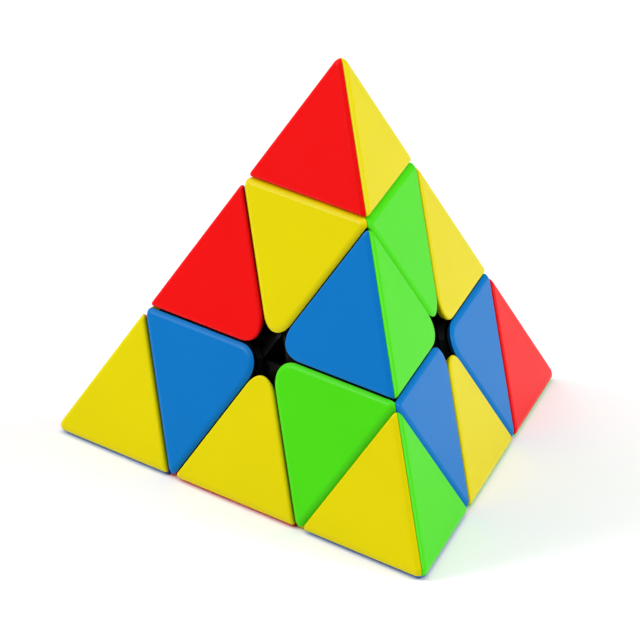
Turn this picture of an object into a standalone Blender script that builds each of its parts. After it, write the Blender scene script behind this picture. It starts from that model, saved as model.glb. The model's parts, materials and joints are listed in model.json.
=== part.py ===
"""Pyramid twisty puzzle: a tetrahedron of coloured caps on black nylon pieces that turn on four arms.

The origin is the centre of the puzzle, where its four turning axes meet, and +Z is the axis through
the top vertex, so the puzzle rests on the face below. Every cut that two layers slide on is a surface
of revolution about a turning axis: a plane outside the feet, and a cone or a sphere around the feet.
"""

import math

import bmesh
import bpy
from mathutils import Matrix, Quaternion, Vector

MM = 0.001

# Driving dimensions. The edge is measured between the sharp corners, before they are rounded.
EDGE = 100.0 * MM
GAP = 0.3 * MM                  # between pieces that touch or slide
CAP_THICKNESS = 1.4 * MM
RIDGE_RADIUS = 1.3 * MM         # along the six long edges and round the four vertices
SHARP_SEAM_RADIUS = 0.4 * MM    # where a tip or edge cap turns down into a seam, under 90 degrees
BLUNT_SEAM_RADIUS = 1.5 * MM    # the same on a corner cap, whose walls slope outwards
CENTRE_RADIUS = 4.5 * MM        # corners that meet at the middle of each face
BODY_CENTRE_RADIUS = 6.0 * MM   # the same corners on the black bodies, hidden behind the caps
TIP_NECK = 0.3 * MM             # raises the tip's cut, which leaves a short neck of corner cap
FOOT_INNER = 13.5 * MM          # spherical shell that the edge pieces' feet fill
FOOT_OUTER = 18.0 * MM
FOOT_ANGLE = math.radians(76)   # half angle of the cone in which one layer's feet turn
HUB_RADIUS = 7.0 * MM
ARM_RADIUS = 4.0 * MM
ARM_LENGTH = 13.0 * MM
STEM_RADIUS = 5.5 * MM
SHANK_RADIUS = 1.25 * MM
SCREW_START = 6.0 * MM
HEAD_RADIUS = 2.7 * MM
HEAD_HEIGHT = 1.8 * MM
SLOT_WIDTH = 0.6 * MM
SLOT_LENGTH = 3.4 * MM
SLOT_DEPTH = 0.9 * MM
SPRING_RADIUS = 2.05 * MM       # to the middle of the wire
WIRE_RADIUS = 0.25 * MM
SPRING_HEIGHT = 3.4 * MM
SPRING_TURNS = 4
TIP_FLOOR = 2.0 * MM
POCKET_RADIUS = 3.1 * MM

# Sizes that follow from the edge of a regular tetrahedron.
INRADIUS = EDGE / (2 * math.sqrt(6))
CIRCUMRADIUS = 3 * INRADIUS
LAYER_CUT = INRADIUS / 3
TIP_CUT = 5 * INRADIUS / 3 + TIP_NECK
BODY_FACE = INRADIUS - CAP_THICKNESS - GAP
FLOOR_TOP = TIP_CUT + GAP / 2 + TIP_FLOOR
HEAD_BOTTOM = FLOOR_TOP + SPRING_HEIGHT + 2 * GAP
TIP_BASE_TOP = HEAD_BOTTOM + HEAD_HEIGHT + GAP
HALF_GAP_ANGLE = (GAP / 2) / FOOT_INNER
ROUND = 36                      # sides of a turned surface that another piece slides on
ARC_STEPS = 6                   # facets along a turned surface's arc, from its pole to the foot's cone

BASE_ANGLES = {"front": -90, "right": 30, "left": 150}
AXES = {"top": Vector((0, 0, 1))}
for _vertex, _degrees in BASE_ANGLES.items():
    _turn = math.radians(_degrees)
    _flat = math.sqrt(8) / 3
    AXES[_vertex] = Vector((_flat * math.cos(_turn), _flat * math.sin(_turn), -1 / 3))

COLOURS = {"red": "D8141A", "yellow": "E8D800", "green": "3FCB25", "blue": "0D66BE"}

# The scramble: for each piece, the colour on each face it shows. A face is named for the vertex
# opposite to it, so "right" is the face on the front left, and "top" is the face it rests on.
TIPS = {
    "top": {"right": "red", "left": "yellow", "front": "green"},
    "front": {"right": "yellow", "left": "green", "top": "blue"},
    "left": {"right": "yellow", "front": "red", "top": "blue"},
    "right": {"left": "red", "top": "green", "front": "blue"},
}
CORNERS = {
    "top": {"right": "yellow", "left": "green", "front": "red"},
    "front": {"right": "green", "left": "blue", "top": "yellow"},
    "left": {"right": "blue", "front": "yellow", "top": "red"},
    "right": {"left": "blue", "top": "red", "front": "green"},
}
EDGES = {
    ("top", "left"): {"right": "red", "front": "blue"},
    ("top", "front"): {"right": "blue", "left": "green"},
    ("top", "right"): {"left": "yellow", "front": "blue"},
    ("left", "front"): {"right": "yellow", "top": "red"},
    ("front", "right"): {"left": "yellow", "top": "green"},
    ("right", "left"): {"front": "red", "top": "green"},
}


def clear_scene():
    for thing in list(bpy.data.objects):
        bpy.data.objects.remove(thing, do_unlink=True)


def new_collection(name):
    group = bpy.data.collections.new(name)
    bpy.context.scene.collection.children.link(group)
    return group


def linear(hex_colour):
    """An sRGB hex colour as the linear values that a shader takes."""
    levels = [int(hex_colour[i:i + 2], 16) / 255 for i in (0, 2, 4)]
    return [v / 12.92 if v <= 0.04045 else ((v + 0.055) / 1.055) ** 2.4 for v in levels] + [1.0]


def new_material(name, hex_colour, roughness, metallic=0.0):
    made = bpy.data.materials.new(name)
    made.use_nodes = True
    shader = made.node_tree.nodes["Principled BSDF"]
    shader.inputs["Base Color"].default_value = linear(hex_colour)
    shader.inputs["Roughness"].default_value = roughness
    shader.inputs["Metallic"].default_value = metallic
    made.diffuse_color = linear(hex_colour)
    return made


def add_object(name, mesh, group):
    thing = bpy.data.objects.new(name, mesh)
    group.objects.link(thing)
    return thing


# ---- convex pieces, carved from a block by planes; a plane is (outward normal, distance from centre)


def tangent_planes(first, second, radius, count):
    """Planes that round the edge between two others, as tangents to a cylinder that touches both."""
    (n1, d1), (n2, d2) = first, second
    overlap = n1.dot(n2)
    scale = 1 / (1 - overlap * overlap)
    along_1 = (d1 - radius - overlap * (d2 - radius)) * scale
    along_2 = (d2 - radius - overlap * (d1 - radius)) * scale
    centre = n1 * along_1 + n2 * along_2
    planes = []
    for step in range(1, count + 1):
        normal = n1.slerp(n2, step / (count + 1))
        planes.append((normal, centre.dot(normal) + radius))
    return planes


def carve(planes):
    """A block cut down to what lies behind every plane."""
    bm = bmesh.new()
    bmesh.ops.create_cube(bm, size=3 * EDGE)
    for normal, distance in planes:
        whole = bm.verts[:] + bm.edges[:] + bm.faces[:]
        cut = bmesh.ops.bisect_plane(
            bm, geom=whole, dist=1e-7, plane_co=normal * distance, plane_no=normal, clear_outer=True
        )
        rim = [item for item in cut["geom_cut"] if isinstance(item, bmesh.types.BMEdge)]
        if rim:
            bmesh.ops.edgeloop_fill(bm, edges=rim)
    bmesh.ops.remove_doubles(bm, verts=bm.verts, dist=0.005 * MM)
    bmesh.ops.dissolve_degenerate(bm, edges=bm.edges, dist=0.001 * MM)
    bmesh.ops.recalc_face_normals(bm, faces=bm.faces)
    mesh = bpy.data.meshes.new("carved")
    bm.to_mesh(mesh)
    bm.free()
    return mesh


def cap_planes(face, neighbours, walls, seam_radius):
    """Planes of a cap on the face opposite the vertex `face`.

    neighbours are the faces across the ridges that the cap reaches, and walls are the planes round
    the rest of its outline. Its outer rim is rounded to seam_radius, and it meets the next cap on a mitre.
    """
    outer = (-AXES[face], INRADIUS)
    planes = [outer, (AXES[face], -(INRADIUS - CAP_THICKNESS))] + walls
    for wall in walls:
        planes += tangent_planes(outer, wall, seam_radius, 2)
    for other in neighbours:
        across = (-AXES[other], INRADIUS)
        ridge = tangent_planes(outer, across, RIDGE_RADIUS, 3)
        planes += ridge[:2]
        planes.append(((AXES[face] - AXES[other]).normalized(), -GAP / 2))
        for wall in walls:
            planes += tangent_planes(ridge[1], wall, seam_radius, 1)
    return planes


def tip_cap_mesh():
    """Cap of the top tip on the face opposite the right vertex."""
    floor = (-AXES["top"], -(TIP_CUT + GAP / 2))
    planes = cap_planes("right", ["left", "front"], [floor], SHARP_SEAM_RADIUS)
    centre = AXES["top"] * (CIRCUMRADIUS - 3 * RIDGE_RADIUS)
    towards = [-AXES["right"]]
    towards += [-(AXES["right"] + AXES[other]).normalized() for other in ("left", "front")]
    for normal in [AXES["top"]] + [AXES["top"].slerp(way, 0.5) for way in towards]:
        planes.append((normal, centre.dot(normal) + RIDGE_RADIUS))
    return carve(planes)


def corner_walls(radius, inset):
    """Planes of a top corner piece where it meets the front and left layers, rounded between them."""
    front = (AXES["front"], LAYER_CUT - inset)
    left = (AXES["left"], LAYER_CUT - inset)
    return [front] + tangent_planes(front, left, radius, 4) + [left]


def corner_cap_mesh():
    """Cap of the top corner piece on the face opposite the right vertex."""
    walls = corner_walls(CENTRE_RADIUS, GAP / 2) + [(AXES["top"], TIP_CUT - GAP / 2)]
    below = (-AXES["top"], -(LAYER_CUT + GAP / 2))
    return carve(cap_planes("right", ["left", "front"], walls, BLUNT_SEAM_RADIUS) + [below])


def edge_walls(radius):
    """Planes of the top-front edge piece where it meets its two layers, rounded between them."""
    top = (-AXES["top"], -(LAYER_CUT + GAP / 2))
    front = (-AXES["front"], -(LAYER_CUT + GAP / 2))
    return [top] + tangent_planes(top, front, radius, 4) + [front]


def edge_cap_mesh():
    """Cap of the top-front edge piece on the face opposite the right vertex."""
    return carve(cap_planes("right", ["left"], edge_walls(CENTRE_RADIUS), SHARP_SEAM_RADIUS))


# ---- turned and joined pieces; each cutter turns about the top axis and is then aimed along another


def turned_mesh(profile, sides):
    """A solid turned about +Z from (radius, height) points that run from its top to its bottom."""
    mesh = bpy.data.meshes.new("profile")
    mesh.from_pydata([(r, 0, z) for r, z in profile], [(i, i + 1) for i in range(len(profile) - 1)], [])
    thing = add_object("turning", mesh, cutters)
    turn = thing.modifiers.new("turn", "SCREW")
    turn.steps = sides
    turn.render_steps = sides
    turn.use_merge_vertices = True
    turn.merge_threshold = 0.001 * MM
    return baked(thing)


def baked(thing):
    """The finished mesh of an object and its modifiers; the object itself is removed."""
    bpy.context.view_layer.update()
    evaluated = thing.evaluated_get(bpy.context.evaluated_depsgraph_get())
    mesh = bpy.data.meshes.new_from_object(evaluated)
    bpy.data.objects.remove(thing)
    return mesh


def aim(vertex):
    """The turn that takes the top axis to another vertex's axis."""
    return AXES["top"].rotation_difference(AXES[vertex])


def add_cutter(name, mesh, vertex="top"):
    thing = add_object(name, mesh, cutters)
    thing.rotation_mode = "QUATERNION"
    thing.rotation_quaternion = aim(vertex)
    thing.hide_render = True
    thing.display_type = "WIRE"
    return thing


def combine(thing, operation, other):
    step = thing.modifiers.new(f"{operation.lower()} {other.name}", "BOOLEAN")
    step.operation = operation
    step.object = other
    step.solver = "EXACT"


def arc(radius, start, end, count):
    """(radius, height) points on a circle about the centre; angles are measured from +Z."""
    angles = [start + (end - start) * i / count for i in range(count + 1)]
    return [(radius * math.sin(a), radius * math.cos(a)) for a in angles]


def cylinder_mesh(radius, bottom, top, sides):
    return turned_mesh([(0, top), (radius, top), (radius, bottom), (0, bottom)], sides)


def foot_shell_mesh():
    """The part of the feet's shell inside the top layer's cone."""
    half = FOOT_ANGLE - HALF_GAP_ANGLE
    outside = arc(FOOT_OUTER, 0, half, ARC_STEPS)
    inside = arc(FOOT_INNER, half, 0, ARC_STEPS)
    return turned_mesh(outside + inside, ROUND)


def foot_cone_mesh():
    """A plain cone, longer than the shell, that trims the feet to a second layer."""
    half = FOOT_ANGLE - HALF_GAP_ANGLE
    slant = 2 * FOOT_OUTER
    return turned_mesh([(0, slant), (slant * math.sin(half), slant * math.cos(half)), (0, 0)], ROUND)


def foot_clearance_mesh():
    """The room in which another layer's feet turn."""
    half = FOOT_ANGLE + HALF_GAP_ANGLE
    return turned_mesh(arc(FOOT_OUTER + GAP, 0, half, ARC_STEPS) + [(0, 0)], ROUND)


def sphere_mesh(radius, rings, sides):
    return turned_mesh(arc(radius, 0, math.pi, rings), sides)


def edge_body_mesh():
    """Black body of the top-front edge piece: a wedge under its two caps, on a spherical foot."""
    faces = [(-AXES[vertex], BODY_FACE) for vertex in ("left", "right")]
    wedge = carve(faces + edge_walls(BODY_CENTRE_RADIUS))
    body = add_object("edge_body_blank", wedge, cutters)
    foot = add_cutter("foot_top", foot_shell_mesh())
    combine(foot, "INTERSECT", add_cutter("foot_front", foot_cone_mesh(), "front"))
    hollow = sphere_mesh((FOOT_INNER + FOOT_OUTER) / 2, 2 * ARC_STEPS, ROUND // 2)
    combine(body, "DIFFERENCE", add_cutter("foot_hollow", hollow))
    combine(body, "UNION", foot)
    clearance = foot_clearance_mesh()
    for vertex in ("left", "right"):
        combine(body, "DIFFERENCE", add_cutter(f"foot_clearance_{vertex}", clearance, vertex))
    return baked(body)


def corner_body_mesh():
    """Black body of the top corner piece: a block over the feet, on a stem that sits on the core."""
    faces = [(-AXES[vertex], BODY_FACE) for vertex in BASE_ANGLES]
    layers = [(AXES[vertex], LAYER_CUT - GAP / 2) for vertex in BASE_ANGLES]
    planes = faces + layers + [(AXES["top"], TIP_CUT - GAP / 2), (-AXES["top"], -(LAYER_CUT + GAP / 2))]
    for i, layer in enumerate(layers):
        planes += tangent_planes(layer, layers[i - 1], BODY_CENTRE_RADIUS, 2)
    body = add_object("corner_body_blank", carve(planes), cutters)
    dome = sphere_mesh(FOOT_OUTER + GAP, 14, ROUND)
    combine(body, "DIFFERENCE", add_cutter("corner_dome", dome))
    stem = cylinder_mesh(STEM_RADIUS, ARM_LENGTH + GAP, FOOT_OUTER + 2 * MM, ROUND)
    combine(body, "UNION", add_cutter("corner_stem", stem))
    bore = cylinder_mesh(SHANK_RADIUS + GAP, 0, CIRCUMRADIUS, ROUND // 2)
    combine(body, "DIFFERENCE", add_cutter("corner_bore", bore))
    return baked(body)


def tip_base_mesh():
    """Black base inside the top tip's caps, with a pocket for the spring and the screw's head."""
    planes = [(-AXES[vertex], BODY_FACE) for vertex in BASE_ANGLES]
    planes += [(-AXES["top"], -(TIP_CUT + GAP / 2)), (AXES["top"], TIP_BASE_TOP)]
    for i in range(3):
        planes += tangent_planes(planes[i], planes[i - 1], RIDGE_RADIUS, 1)
    base = add_object("tip_base_blank", carve(planes), cutters)
    hole = SHANK_RADIUS + GAP
    profile = [(0, CIRCUMRADIUS), (POCKET_RADIUS, CIRCUMRADIUS), (POCKET_RADIUS, FLOOR_TOP)]
    profile += [(hole, FLOOR_TOP), (hole, 0), (0, 0)]
    combine(base, "DIFFERENCE", add_cutter("tip_pocket", turned_mesh(profile, ROUND // 2)))
    return baked(base)


def screw_mesh():
    """Pan-head screw along +Z, with a cross slot; its tip is in the core's arm."""
    head_top = HEAD_BOTTOM + HEAD_HEIGHT
    point = SHANK_RADIUS * 0.5
    dome = 0.4 * MM
    profile = [(0, head_top), (HEAD_RADIUS - 2 * dome, head_top), (HEAD_RADIUS, head_top - 1.5 * dome)]
    profile += [(HEAD_RADIUS, HEAD_BOTTOM), (SHANK_RADIUS, HEAD_BOTTOM)]
    profile += [(SHANK_RADIUS, SCREW_START + SHANK_RADIUS), (point, SCREW_START), (0, SCREW_START)]
    screw = add_object("screw_blank", turned_mesh(profile, ROUND // 3), cutters)
    for name, length, width in (("slot_x", SLOT_LENGTH, SLOT_WIDTH), ("slot_y", SLOT_WIDTH, SLOT_LENGTH)):
        bm = bmesh.new()
        bmesh.ops.create_cube(bm, size=1)
        bmesh.ops.scale(bm, vec=(length, width, 2 * SLOT_DEPTH), verts=bm.verts)
        bmesh.ops.translate(bm, vec=(0, 0, head_top), verts=bm.verts)
        slot = bpy.data.meshes.new(name)
        bm.to_mesh(slot)
        bm.free()
        combine(screw, "DIFFERENCE", add_cutter(name, slot))
    return baked(screw)


def spring_mesh():
    """Coil spring round the screw, between the tip's floor and the screw's head."""
    bottom = FLOOR_TOP + GAP + WIRE_RADIUS
    rise = SPRING_HEIGHT - 2 * WIRE_RADIUS
    points_per_turn = 8
    count = SPRING_TURNS * points_per_turn
    curve = bpy.data.curves.new("spring", "CURVE")
    curve.dimensions = "3D"
    curve.bevel_depth = WIRE_RADIUS
    curve.bevel_resolution = 2
    curve.use_fill_caps = True
    coil = curve.splines.new("POLY")
    coil.points.add(count)
    for i, point in enumerate(coil.points):
        angle = math.tau * i / points_per_turn
        height = bottom + rise * i / count
        point.co = (SPRING_RADIUS * math.cos(angle), SPRING_RADIUS * math.sin(angle), height, 1)
    mesh = baked(add_object("spring_blank", curve, cutters))
    bm = bmesh.new()
    bm.from_mesh(mesh)
    bmesh.ops.remove_doubles(bm, verts=bm.verts, dist=0.001 * MM)
    bm.to_mesh(mesh)
    bm.free()
    return mesh


def core_mesh():
    """The core: a hub with four arms, each with a hole for its screw."""
    core = add_object("core_blank", sphere_mesh(HUB_RADIUS, 8, ROUND // 2), cutters)
    arm = cylinder_mesh(ARM_RADIUS, HUB_RADIUS / 4, ARM_LENGTH, ROUND // 2)
    hole = cylinder_mesh(SHANK_RADIUS + GAP, SCREW_START - GAP, EDGE, ROUND // 3)
    for vertex in AXES:
        combine(core, "UNION", add_cutter(f"arm_{vertex}", arm, vertex))
    for vertex in AXES:
        combine(core, "DIFFERENCE", add_cutter(f"hole_{vertex}", hole, vertex))
    return baked(core)


# ---- placing: every piece is modelled at the top, facing the right vertex's face, and turned round


def frame_of(first, second):
    """A turned frame whose X runs along the first axis, with the second in its XY plane."""
    x = AXES[first]
    y = (AXES[second] - x * x.dot(AXES[second])).normalized()
    return Matrix((x, y, x.cross(y))).transposed()


def turn_between(start, end):
    """The rotation that takes one pair of vertices to another."""
    return (frame_of(*end) @ frame_of(*start).transposed()).to_quaternion()


def add_pivot(name, parent=None):
    """An empty at the centre, which lies on every turning axis."""
    pivot = bpy.data.objects.new(name, None)
    pivot.empty_display_size = 10 * MM
    puzzle.objects.link(pivot)
    pivot.parent = parent
    return pivot


def add_piece(name, mesh, finish, turn, parent):
    own = mesh.copy()
    own.name = name
    own.materials.clear()
    own.materials.append(finishes[finish])
    own.shade_smooth()
    own.set_sharp_from_angle(angle=math.radians(25))
    piece = add_object(name, own, puzzle)
    piece.rotation_mode = "QUATERNION"
    piece.rotation_quaternion = turn
    piece.parent = parent
    return piece


def build():
    core = add_pivot("core")
    add_piece("core_spider", core_mesh(), "black", Quaternion(), core)
    screw = screw_mesh()
    spring = spring_mesh()
    tip_base = tip_base_mesh()
    tip_cap = tip_cap_mesh()
    corner_body = corner_body_mesh()
    corner_cap = corner_cap_mesh()
    edge_body = edge_body_mesh()
    edge_cap = edge_cap_mesh()
    corner_pivots = {}
    for vertex in AXES:
        corner = add_pivot(f"corner_{vertex}", core)
        tip = add_pivot(f"tip_{vertex}", corner)
        corner_pivots[vertex] = corner
        add_piece(f"{vertex}_screw", screw, "steel", aim(vertex), core)
        add_piece(f"{vertex}_spring", spring, "spring_steel", aim(vertex), core)
        face = next(iter(CORNERS[vertex]))
        upright = turn_between(("top", "right"), (vertex, face))
        add_piece(f"{vertex}_corner_body", corner_body, "black", upright, corner)
        add_piece(f"{vertex}_tip_base", tip_base, "black", upright, tip)
        for face, colour in CORNERS[vertex].items():
            turn = turn_between(("top", "right"), (vertex, face))
            add_piece(f"{vertex}_corner_cap_{colour}", corner_cap, colour, turn, corner)
        for face, colour in TIPS[vertex].items():
            turn = turn_between(("top", "right"), (vertex, face))
            add_piece(f"{vertex}_tip_cap_{colour}", tip_cap, colour, turn, tip)
    for (first, second), faces in EDGES.items():
        edge = add_pivot(f"edge_{first}_{second}", corner_pivots[first])
        left, right = faces
        turn = turn_between(("left", "right"), (left, right))
        add_piece(f"edge_{first}_{second}_body", edge_body, "black", turn, edge)
        for face, other in ((left, right), (right, left)):
            turn = turn_between(("right", "left"), (face, other))
            add_piece(f"edge_{first}_{second}_cap_{faces[face]}", edge_cap, faces[face], turn, edge)


clear_scene()
puzzle = new_collection("pyramid_twisty_puzzle")
cutters = new_collection("cutters")
finishes = {name: new_material(f"{name}_abs", colour, 0.34) for name, colour in COLOURS.items()}
finishes["black"] = new_material("black_nylon", "101012", 0.5)
finishes["steel"] = new_material("zinc_plated_steel", "B8B8B4", 0.35, 1.0)
finishes["spring_steel"] = new_material("spring_steel", "8E9094", 0.3, 1.0)
build()
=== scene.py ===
# %% [markdown]
# # A pyramid twisty puzzle
# The puzzle is a tetrahedron cut into fourteen turning pieces: four tips, four corners and six edges. It has
# no stickers. Every colour is a moulded plastic cap, and the caps sit on black nylon bodies. This script
# models the caps, gives every part its finish, and sets up a plain studio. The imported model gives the
# sizes: its parts stay where they are, and each new cap stands in for the plain one.

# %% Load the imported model
import json
import math

import bmesh
import bpy
from mathutils import Matrix, Vector

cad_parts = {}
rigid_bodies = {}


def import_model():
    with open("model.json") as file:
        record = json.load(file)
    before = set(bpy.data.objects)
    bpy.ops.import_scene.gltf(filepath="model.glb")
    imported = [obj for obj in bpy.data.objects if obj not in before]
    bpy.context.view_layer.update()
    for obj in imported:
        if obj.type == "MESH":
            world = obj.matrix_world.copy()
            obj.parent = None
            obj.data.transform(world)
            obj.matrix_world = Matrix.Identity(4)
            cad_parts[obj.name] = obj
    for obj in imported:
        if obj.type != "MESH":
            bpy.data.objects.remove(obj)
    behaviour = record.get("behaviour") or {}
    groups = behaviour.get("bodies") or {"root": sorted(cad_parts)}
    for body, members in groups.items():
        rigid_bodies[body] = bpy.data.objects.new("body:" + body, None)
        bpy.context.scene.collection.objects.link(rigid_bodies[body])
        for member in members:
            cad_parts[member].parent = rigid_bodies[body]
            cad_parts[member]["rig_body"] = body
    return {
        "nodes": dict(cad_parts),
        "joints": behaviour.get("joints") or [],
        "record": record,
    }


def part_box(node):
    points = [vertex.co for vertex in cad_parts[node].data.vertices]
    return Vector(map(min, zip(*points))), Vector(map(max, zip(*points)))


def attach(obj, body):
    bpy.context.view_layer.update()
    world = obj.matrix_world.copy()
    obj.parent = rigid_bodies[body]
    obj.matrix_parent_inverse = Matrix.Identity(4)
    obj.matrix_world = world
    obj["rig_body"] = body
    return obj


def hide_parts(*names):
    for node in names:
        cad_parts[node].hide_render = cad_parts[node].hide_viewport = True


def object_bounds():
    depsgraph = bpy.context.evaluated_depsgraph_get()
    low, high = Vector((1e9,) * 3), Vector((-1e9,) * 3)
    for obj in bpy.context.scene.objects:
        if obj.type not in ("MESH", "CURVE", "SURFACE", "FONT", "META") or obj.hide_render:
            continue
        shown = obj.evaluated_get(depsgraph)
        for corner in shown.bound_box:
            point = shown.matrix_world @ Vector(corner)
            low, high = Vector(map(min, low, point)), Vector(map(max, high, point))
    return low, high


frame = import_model()
cad_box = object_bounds()
MM = 0.001

# %% [markdown]
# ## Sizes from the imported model
# A regular tetrahedron needs one size. The puzzle rests on a face, so the lowest point of its box is one
# inradius below the centre. The turning axes come from the layers' joints. The cuts follow from the
# inradius: a layer is cut at a third of it above the centre, and a tip just above five thirds, which leaves
# the corner a short neck.

# %% Sizes and axes
INRADIUS = -cad_box[0].z
AXES = {
    joint["name"].removesuffix("_layer_turn"): Vector(joint["axis"]).normalized()
    for joint in frame["joints"] if joint["name"].endswith("_layer_turn")
}
SLIDE_GAP = 0.25 * MM                       # between layers
COLOUR_SEAM = 0.03 * MM                     # half the hairline between two colours of one piece
CAP_THICKNESS = 1.4 * MM
LAYER_CUT = INRADIUS / 3
TIP_CUT = 5 * INRADIUS / 3 + SLIDE_GAP
print("inradius", round(INRADIUS / MM, 3), "mm; axes", {name: tuple(a) for name, a in AXES.items()})

# %% [markdown]
# ## Carving with planes
# Each piece of the puzzle is a convex block, so it can be cut from a cube with flat cuts, as from wood on a
# saw. The bisect tool does that: it cuts along a plane, throws the outer side away and fills the cut. A
# plane is written here as its outward direction and its distance from the centre. Cutting keeps every
# face exactly on the surface where two layers slide, which pushing vertices about would not.

# %% A block cut by planes
BLOCK_SIZE = 12 * INRADIUS                  # far larger than any piece
ON_CUT = 0.0001 * MM                        # points this near to a cut count as lying on it
WELD = 0.01 * MM                            # corners nearer together than this become one


def only(thing):
    """Select this object and nothing else, and make it active."""
    bpy.ops.object.select_all(action="DESELECT")
    thing.select_set(True)
    bpy.context.view_layer.objects.active = thing


def cut(thing, planes):
    """Cut an object down to what lies behind every plane, and close each cut."""
    only(thing)
    bpy.ops.object.mode_set(mode="EDIT")
    for normal, distance in planes:
        bpy.ops.mesh.select_all(action="SELECT")
        bpy.ops.mesh.bisect(
            plane_co=normal * distance, plane_no=normal, use_fill=True, clear_outer=True, threshold=ON_CUT
        )
    bpy.ops.mesh.select_all(action="SELECT")
    bpy.ops.mesh.remove_doubles(threshold=WELD)
    bpy.ops.object.mode_set(mode="OBJECT")


def block(name, planes):
    """A large cube, cut to shape."""
    bpy.ops.object.select_all(action="DESELECT")
    bpy.ops.mesh.primitive_cube_add(size=BLOCK_SIZE)
    made = bpy.context.object
    made.name = name
    cut(made, planes)
    print(name, "block:", len(made.data.polygons), "faces")
    return made


# %% [markdown]
# ## Rounding the edges
# Moulded edges are never sharp. The noses that meet at the middle of a face are rounded first, in plan,
# with a wide bevel. Then one bevel modifier rounds every edge of the outer faces at once, because a single
# bevel also makes a smooth patch where three or four edges meet. Edge weights let the long ridges be
# rounder than the seams. Tips and edge pieces lean over their seams and keep a crisp rim there. Corner
# pieces slope out under the seam, and that rim is broad and soft.

# %% Bevels
NOSE_RADIUS = 4.5 * MM
NOSE_WIDTH = NOSE_RADIUS / math.tan(math.asin(math.sqrt(1 / 3)))    # the walls meet at 70.5 degrees
NOSE_STEPS = 12
RIDGE_WIDTH = 1.93 * MM
SHARP_WIDTH = 0.85 * MM
BLUNT_WIDTH = 1.15 * MM
RIM_STEPS = 6
ON_PLANE = 0.002 * MM                       # a face this near to a plane may lie on it
SAME_WAY = 0.9999                           # if the cosine between their directions is above this


def lies_on(face, plane):
    """Whether a face is part of a plane and looks the same way."""
    normal, distance = plane
    near = abs(face.calc_center_median().dot(normal) - distance) < ON_PLANE
    return near and face.normal.dot(normal) > SAME_WAY


def bevel_where(thing, wanted, width, steps):
    """Bevel the edges whose two faces pass a test."""
    only(thing)
    bpy.ops.object.mode_set(mode="EDIT")
    bpy.ops.mesh.select_mode(type="EDGE")
    bpy.ops.mesh.select_all(action="DESELECT")
    mesh = bmesh.from_edit_mesh(thing.data)
    chosen = [edge for edge in mesh.edges if wanted(*edge.link_faces)]
    for edge in chosen:
        edge.select_set(True)
    bmesh.update_edit_mesh(thing.data)
    bpy.ops.mesh.bevel(offset=width, segments=steps, affect="EDGES", clamp_overlap=False)
    bpy.ops.object.mode_set(mode="OBJECT")
    print(thing.name, "edges rounded:", len(chosen))


def round_nose(thing, first, second):
    """Round the edge between two walls in plan."""

    def between_walls(a, b):
        return (lies_on(a, first) and lies_on(b, second)) or (lies_on(b, first) and lies_on(a, second))

    bevel_where(thing, between_walls, NOSE_WIDTH, NOSE_STEPS)


def round_rims(thing, outer_planes, seam_width):
    """Round every edge of the outer faces: ridges lie between two of them, seams beside one."""
    mesh = bmesh.new()
    mesh.from_mesh(thing.data)
    mesh.edges.ensure_lookup_table()
    weights = []
    for edge in mesh.edges:
        touched = sum(any(lies_on(f, plane) for plane in outer_planes) for f in edge.link_faces)
        weights.append((0, seam_width / RIDGE_WIDTH, 1)[touched])
    mesh.free()
    layer = thing.data.attributes.new("bevel_weight_edge", "FLOAT", "EDGE")
    layer.data.foreach_set("value", weights)
    only(thing)
    bevel = thing.modifiers.new("rims", "BEVEL")
    bevel.limit_method = "WEIGHT"
    bevel.width = RIDGE_WIDTH
    bevel.segments = RIM_STEPS
    bevel.use_clamp_overlap = False
    bpy.ops.object.modifier_apply(modifier=bevel.name)


# %% [markdown]
# ## From a rounded block to a cap
# A cap is the skin of its block on one face. It is cut off by a plane inside the face and by the mitre
# planes that run from the ridges to the centre. Its mitred edges get a very small bevel of their own, which
# catches a hairline of shade between two colours. Weighted normals keep the big faces flat in the light.

# %% Cap helper
MITRE_WIDTH = 0.06 * MM
MITRE_STEPS = 2
SMOOTH_BELOW = math.radians(35)             # edges that turn more than this stay sharp
FLAT_FACE_WEIGHT = 100                      # the largest faces set the normals round them


def cap_planes(face, neighbours):
    """The cuts that free a cap from its block: the inside, and a mitre with each neighbouring face."""
    planes = [(AXES[face], -(INRADIUS - CAP_THICKNESS))]
    for other in neighbours:
        planes.append(((AXES[face] - AXES[other]).normalized(), -COLOUR_SEAM))
    return planes


def finish_cap(thing, face, neighbours, more=()):
    """Free the cap from its rounded block, soften its mitres and smooth it."""
    planes = cap_planes(face, neighbours)
    cut(thing, planes + list(more))

    def beside_mitre(a, b):
        mitred = [any(lies_on(f, plane) for plane in planes[1:]) for f in (a, b)]
        return mitred[0] != mitred[1] and not lies_on(a, planes[0]) and not lies_on(b, planes[0])

    bevel_where(thing, beside_mitre, MITRE_WIDTH, MITRE_STEPS)
    bpy.ops.object.shade_smooth_by_angle(angle=SMOOTH_BELOW)
    weighted = thing.modifiers.new("normals", "WEIGHTED_NORMAL")
    weighted.keep_sharp = True
    weighted.weight = FLAT_FACE_WEIGHT
    bpy.ops.object.modifier_apply(modifier=weighted.name)
    print(thing.name, "cap:", len(thing.data.polygons), "faces")


# %% [markdown]
# ## The three caps
# All twelve tip caps are one shape, and so are the corner caps and the edge caps. Each is modelled once, for
# the top piece on the face opposite the right vertex. A tip is a small tetrahedron.

# %% Tip cap
OUTER = {vertex: (-AXES[vertex], INRADIUS) for vertex in AXES}
outer_three = [OUTER[vertex] for vertex in ("right", "left", "front")]
tip_floor = (-AXES["top"], -(TIP_CUT + SLIDE_GAP / 2))

tip_cap = block("tip", outer_three + [tip_floor])
round_rims(tip_cap, outer_three, SHARP_WIDTH)
finish_cap(tip_cap, "right", ("left", "front"))

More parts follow.
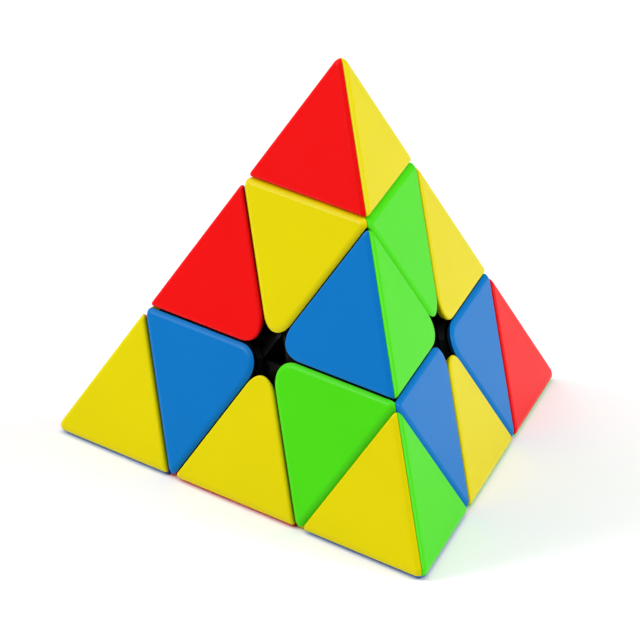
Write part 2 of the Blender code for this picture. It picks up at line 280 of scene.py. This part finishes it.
# %% [markdown]
# A corner piece is an octahedron: three outer faces, the cut under the tip, the cut of its own layer, and
# three walls where the other layers slide past. Its own layer's cut meets an outer face only at the nose, so
# it is made after the rounding. Only the nose on this cap's own face needs rounding in plan. The walls slope
# out under the cap, so below its rim the cap is cut back. Only the rim then shows its colour in the hole at
# the middle of the face.

# %% Corner cap
RIM_DEPTH = 0.45 * MM                       # from the face down to where the cap is cut back
RIM_LEAN = 0.8                              # how strongly those cuts lean in
RIM_CUTS = 9                                # from one wall round the nose to the other
walls = {vertex: (AXES[vertex], LAYER_CUT - SLIDE_GAP / 2) for vertex in ("front", "left", "right")}
under_tip = (AXES["top"], TIP_CUT - SLIDE_GAP / 2)
own_layer = (-AXES["top"], -(LAYER_CUT + SLIDE_GAP / 2))


def below_rim(face, first, second):
    """Cuts that lean in below the rim of a rounded nose, each from one line along its walls."""
    out, rim = -AXES[face], INRADIUS - RIM_DEPTH
    middle = (first[0] + second[0]).normalized()
    across = (first[0] - second[0]).normalized()
    half_turn = first[0].angle(middle)
    to_axis = (first[1] - NOSE_RADIUS) / math.cos(half_turn)      # from the centre to the nose's own axis
    planes = []
    for step in range(RIM_CUTS):
        turn = half_turn * (2 * step / (RIM_CUTS - 1) - 1)
        wall = middle * math.cos(turn) + across * math.sin(turn)
        reach = to_axis * math.cos(turn) + NOSE_RADIUS
        lean = wall.dot(out) + RIM_LEAN
        leaning = wall - out * lean
        planes.append((leaning.normalized(), (reach - lean * rim) / leaning.length))
    return planes


corner_cap = block("corner", outer_three + list(walls.values()) + [under_tip])
round_nose(corner_cap, walls["front"], walls["left"])
round_rims(corner_cap, outer_three, BLUNT_WIDTH)
trims = [own_layer] + below_rim("right", walls["front"], walls["left"])
finish_cap(corner_cap, "right", ("left", "front"), trims)

# %% [markdown]
# An edge piece is a wedge with two outer faces. The nose runs right through it, from one face to the other.

# %% Edge cap
edge_faces = [OUTER["right"], OUTER["left"]]
edge_walls = [(-AXES[vertex], -(LAYER_CUT + SLIDE_GAP / 2)) for vertex in ("top", "front")]

edge_cap = block("edge", edge_faces + edge_walls)
round_nose(edge_cap, *edge_walls)
round_rims(edge_cap, edge_faces, SHARP_WIDTH)
finish_cap(edge_cap, "right", ("left",))

# %% [markdown]
# ## Finishes
# Colours are written as they look on a screen, and one function turns them into the linear values that a
# shader needs. Another helper adds a node, sets it and wires it, and a third maps noise to a narrow range
# of values. So each finish below reads as a list of what it is made of.

# %% Colour and node helpers


def linear(hex_colour):
    """A screen colour as the four linear values of a shader socket."""
    levels = [int(hex_colour[i:i + 2], 16) / 255 for i in (0, 2, 4)]
    return [v / 12.92 if v <= 0.04045 else ((v + 0.055) / 1.055) ** 2.4 for v in levels] + [1.0]


def new_finish(name):
    """An empty material, its node tree and its shader."""
    made = bpy.data.materials.new(name)
    made.use_nodes = True
    return made, made.node_tree, made.node_tree.nodes["Principled BSDF"]


def add_node(tree, kind, settings=None, **links):
    """Add a node. Settings are its own properties or sockets; links are sockets fed by other sockets."""
    node = tree.nodes.new("ShaderNode" + kind)
    for name, value in (settings or {}).items():
        if name in node.inputs:
            node.inputs[name].default_value = value
        else:
            setattr(node, name, value)
    for name, source in links.items():
        tree.links.new(source, node.inputs[name.replace("_", " ")])
    return node


def spread(tree, noise, low, high):
    """A noise's 0 to 1, mapped to a narrow range."""
    mapped = add_node(tree, "MapRange", {"To Min": low, "To Max": high}, Value=noise.outputs["Fac"])
    return mapped.outputs["Result"]


# %% [markdown]
# ### Moulded ABS
# The caps are ABS, a tough plastic coloured right through and moulded in polished steel. That gives a satin
# gloss, a very fine grain left by the mould, and broad shallow waves where the plastic shrank as it cooled.
# The real grain is finer than a picture shows, so it is drawn at 0.5 mm. ABS has an IOR near 1.54. Its
# reflection is then turned down, as a polarising filter does, so the white table lays no haze on the colours.

# %% Moulded ABS
GRAIN = 0.5 * MM
SINK = 14 * MM
SMUDGE = 6 * MM
ABS_ROUGHNESS = (0.28, 0.36)
ABS_BRIGHTNESS = (0.97, 1.03)
ABS_IOR = 1.54
ABS_REFLECTION = 0.065                      # 0.5 would be all that the IOR gives


def moulded_abs(name, hex_colour):
    """Satin plastic of one colour, with fine grain, broad waves and faint smudges."""
    made, tree, shader = new_finish(name)
    place = add_node(tree, "TexCoord").outputs["Object"]
    grain = add_node(tree, "TexNoise", {"Scale": 1 / GRAIN, "Detail": 3.0}, Vector=place)
    sink = add_node(tree, "TexNoise", {"Scale": 1 / SINK, "Detail": 1.0}, Vector=place)
    smudge = add_node(tree, "TexNoise", {"Scale": 1 / SMUDGE, "Detail": 4.0, "Roughness": 0.6}, Vector=place)
    waves = add_node(tree, "Bump", {"Strength": 0.35, "Distance": 0.05 * MM}, Height=sink.outputs["Fac"])
    fine = add_node(
        tree, "Bump", {"Strength": 0.25, "Distance": 0.01 * MM},
        Height=grain.outputs["Fac"], Normal=waves.outputs["Normal"],
    )
    brightness = spread(tree, sink, *ABS_BRIGHTNESS)
    tint = add_node(tree, "HueSaturation", {"Color": linear(hex_colour)}, Value=brightness)
    tree.links.new(tint.outputs["Color"], shader.inputs["Base Color"])
    tree.links.new(spread(tree, smudge, *ABS_ROUGHNESS), shader.inputs["Roughness"])
    tree.links.new(fine.outputs["Normal"], shader.inputs["Normal"])
    shader.inputs["IOR"].default_value = ABS_IOR
    shader.inputs["Specular IOR Level"].default_value = ABS_REFLECTION
    return made


abs_colours = {"red": "EB0A0C", "yellow": "DECF00", "green": "4AD612", "blue": "0673C0"}
abs_finishes = {colour: moulded_abs(f"moulded_abs_{colour}", code) for colour, code in abs_colours.items()}
print("ABS colours:", ", ".join(abs_finishes))

# %% [markdown]
# ### Black nylon and steel
# The bodies and the core are black nylon, which slides well. It is duller than ABS, with a deeper
# mould grain. The screws are zinc plated and the springs are bare drawn wire.

# %% Nylon and steel
NYLON_GRAIN = 0.35 * MM
NYLON_ROUGHNESS = (0.42, 0.55)
NYLON_IOR = 1.53
NYLON_REFLECTION = 0.08
METAL_GRAIN = 0.6 * MM


def moulded_nylon():
    """Black nylon, with its reflection turned down so that the gaps between the caps stay black."""
    made, tree, shader = new_finish("moulded_black_nylon")
    place = add_node(tree, "TexCoord").outputs["Object"]
    grain = add_node(tree, "TexNoise", {"Scale": 1 / NYLON_GRAIN, "Detail": 4.0}, Vector=place)
    bump = add_node(tree, "Bump", {"Strength": 0.4, "Distance": 0.02 * MM}, Height=grain.outputs["Fac"])
    tree.links.new(spread(tree, grain, *NYLON_ROUGHNESS), shader.inputs["Roughness"])
    tree.links.new(bump.outputs["Normal"], shader.inputs["Normal"])
    shader.inputs["Base Color"].default_value = linear("030303")
    shader.inputs["IOR"].default_value = NYLON_IOR
    shader.inputs["Specular IOR Level"].default_value = NYLON_REFLECTION
    return made


def plain_metal(name, hex_colour, smoothest, roughest):
    """Bare metal whose roughness wanders between two values."""
    made, tree, shader = new_finish(name)
    place = add_node(tree, "TexCoord").outputs["Object"]
    grain = add_node(tree, "TexNoise", {"Scale": 1 / METAL_GRAIN, "Detail": 2.0}, Vector=place)
    tree.links.new(spread(tree, grain, smoothest, roughest), shader.inputs["Roughness"])
    shader.inputs["Base Color"].default_value = linear(hex_colour)
    shader.inputs["Metallic"].default_value = 1.0
    return made


hidden_finishes = {
    "black_nylon": moulded_nylon(),
    "screw_steel": plain_metal("zinc_plated_steel", "C4C4BE", 0.25, 0.4),
    "spring_steel": plain_metal("drawn_spring_wire", "9A9CA0", 0.2, 0.3),
}
slots = {part["node"]: part["material_slot"] for part in frame["record"]["subparts"]}
for name, node in frame["nodes"].items():
    if slots[name] in hidden_finishes:
        node.data.materials.clear()
        node.data.materials.append(hidden_finishes[slots[name]])
print("black and steel parts:", sum(slot in hidden_finishes for slot in slots.values()))

# %% [markdown]
# ## Placing the caps
# A cap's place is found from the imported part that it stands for. The part's name gives its piece and its
# colour, and its middle shows which face it lies on. Two vertices fix a turn of the tetrahedron, so each
# copy is turned from the modelled pair to its own, and the turn goes into its mesh.

# %% Turning a cap into place


def frame_of(first, second):
    """Three square axes: one along the first vertex, one towards the second, one across."""
    x = AXES[first]
    y = (AXES[second] - x * x.dot(AXES[second])).normalized()
    return Matrix((x, y, x.cross(y))).transposed()


def turn_between(start, end):
    """The turn that carries one pair of vertices to another."""
    return (frame_of(*end) @ frame_of(*start).transposed()).to_4x4()


def face_under(name):
    """The vertex opposite the face that a packed cap lies on."""
    low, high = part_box(name)
    middle = (low + high) / 2
    return min(AXES, key=lambda vertex: middle.dot(AXES[vertex]))


def add_cap(node_name, source, turn):
    """A copy of a cap, turned into its place, in its colour, riding on its body."""
    copy = bpy.data.objects.new("shell_" + node_name, source.data.copy())
    bpy.context.scene.collection.objects.link(copy)
    copy.data.transform(turn)
    copy.data.materials.clear()
    copy.data.materials.append(abs_finishes[slots[node_name].removesuffix("_plastic")])
    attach(copy, frame["nodes"][node_name]["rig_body"])
    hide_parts(node_name)


# %% [markdown]
# The puzzle has thirty-six caps. The cap of a tip or a corner is placed by its vertex and its face. The cap
# of an edge is placed by its own face and the other face that its piece shows. At the end the three patterns
# are removed.

# %% All thirty-six caps
for node_name in [name for name in frame["nodes"] if "_cap_" in name]:
    face = face_under(node_name)
    words = node_name.split("_")
    if words[0] == "edge":
        other = next(vertex for vertex in AXES if vertex not in (words[1], words[2], face))
        add_cap(node_name, edge_cap, turn_between(("right", "left"), (face, other)))
    else:
        source = tip_cap if words[1] == "tip" else corner_cap
        add_cap(node_name, source, turn_between(("top", "right"), (words[0], face)))
for pattern in (tip_cap, corner_cap, edge_cap):
    bpy.data.objects.remove(pattern)

# %% [markdown]
# ## The studio
# The puzzle stands on a pale table that runs far past the view. A wide softbox overhead lights the table.
# Softboxes on both sides light the two faces and leave the ridge between them a little darker, with a light
# line where its rounding starts. The shadow falls to the right and stays faint. The room itself is dark,
# because a bright room would lay a grey haze over the colours.

# %% Floor and lights
FLOOR_SIZE = 4.0                            # metres
FLOOR_GAP = 0.1 * MM                        # keeps the table's face apart from the caps above it
ROOM_LIGHT = 0.12
bpy.ops.mesh.primitive_plane_add(size=FLOOR_SIZE, location=(0, 0, cad_box[0].z - FLOOR_GAP))
floor = bpy.context.object
floor.name = "table_top"
paper, _, paper_shader = new_finish("white_paper")
paper_shader.inputs["Base Color"].default_value = linear("F3F3F3")
paper_shader.inputs["Roughness"].default_value = 0.9
floor.data.materials.append(paper)


def direction(azimuth, elevation):
    """From the puzzle towards a light or the camera, in degrees; azimuth 0 is the front."""
    turn, rise = math.radians(azimuth), math.radians(elevation)
    return Vector((math.sin(turn) * math.cos(rise), -math.cos(turn) * math.cos(rise), math.sin(rise)))


def add_softbox(name, azimuth, elevation, distance, size, power):
    """A square area light that faces the puzzle; metres and watts."""
    back = direction(azimuth, elevation)
    data = bpy.data.lights.new(name, "AREA")
    data.energy = power
    data.size = size
    light = bpy.data.objects.new(name, data)
    light.location = back * distance
    light.rotation_mode = "QUATERNION"
    light.rotation_quaternion = back.to_track_quat("Z", "Y")
    bpy.context.scene.collection.objects.link(light)


add_softbox("overhead", 0, 88, 1.3, 1.6, 13.5)
add_softbox("left_fill", -90, 45, 1.2, 0.8, 0.8)
add_softbox("left_edge", -104, 32, 1.2, 0.35, 6.3)
add_softbox("back_left", -140, 40, 1.3, 0.9, 4.0)
add_softbox("right_front", 64, 31, 1.2, 0.45, 8.3)

world = bpy.data.worlds.new("studio")
world.use_nodes = True
world.node_tree.nodes["Background"].inputs["Color"].default_value = (1, 1, 1, 1)
world.node_tree.nodes["Background"].inputs["Strength"].default_value = ROOM_LIGHT
bpy.context.scene.world = world
bpy.context.scene.view_settings.view_transform = "Standard"

# %% [markdown]
# ## The camera
# A long lens from about a metre away keeps the edges nearly parallel. It looks down from the front left
# and is tilted by less than a degree.

# %% Camera
AZIMUTH, ELEVATION, ROLL = -13.91, 22.04, -0.59     # degrees
DISTANCE = 1046.7 * MM
AIM_RIGHT, AIM_UP = -4.33 * MM, 8.01 * MM
FOCAL_LENGTH = 319.3                        # in millimetres, as the camera takes it
FAR_CLIP = 20                               # metres
back = direction(AZIMUTH, ELEVATION)
roll = math.radians(ROLL)
level_right = Vector((0, 0, 1)).cross(back).normalized()
level_up = back.cross(level_right)
right = level_right * math.cos(roll) + level_up * math.sin(roll)
up = level_up * math.cos(roll) - level_right * math.sin(roll)

lens = bpy.data.cameras.new("camera")
lens.lens = FOCAL_LENGTH
lens.clip_end = FAR_CLIP
camera = bpy.data.objects.new("camera", lens)
facing = Matrix((right, up, back)).transposed().to_4x4()
camera.matrix_world = Matrix.Translation(back * DISTANCE + right * AIM_RIGHT + up * AIM_UP) @ facing
bpy.context.scene.collection.objects.link(camera)
bpy.context.scene.camera = camera
print("camera at", tuple(round(v, 3) for v in camera.location))
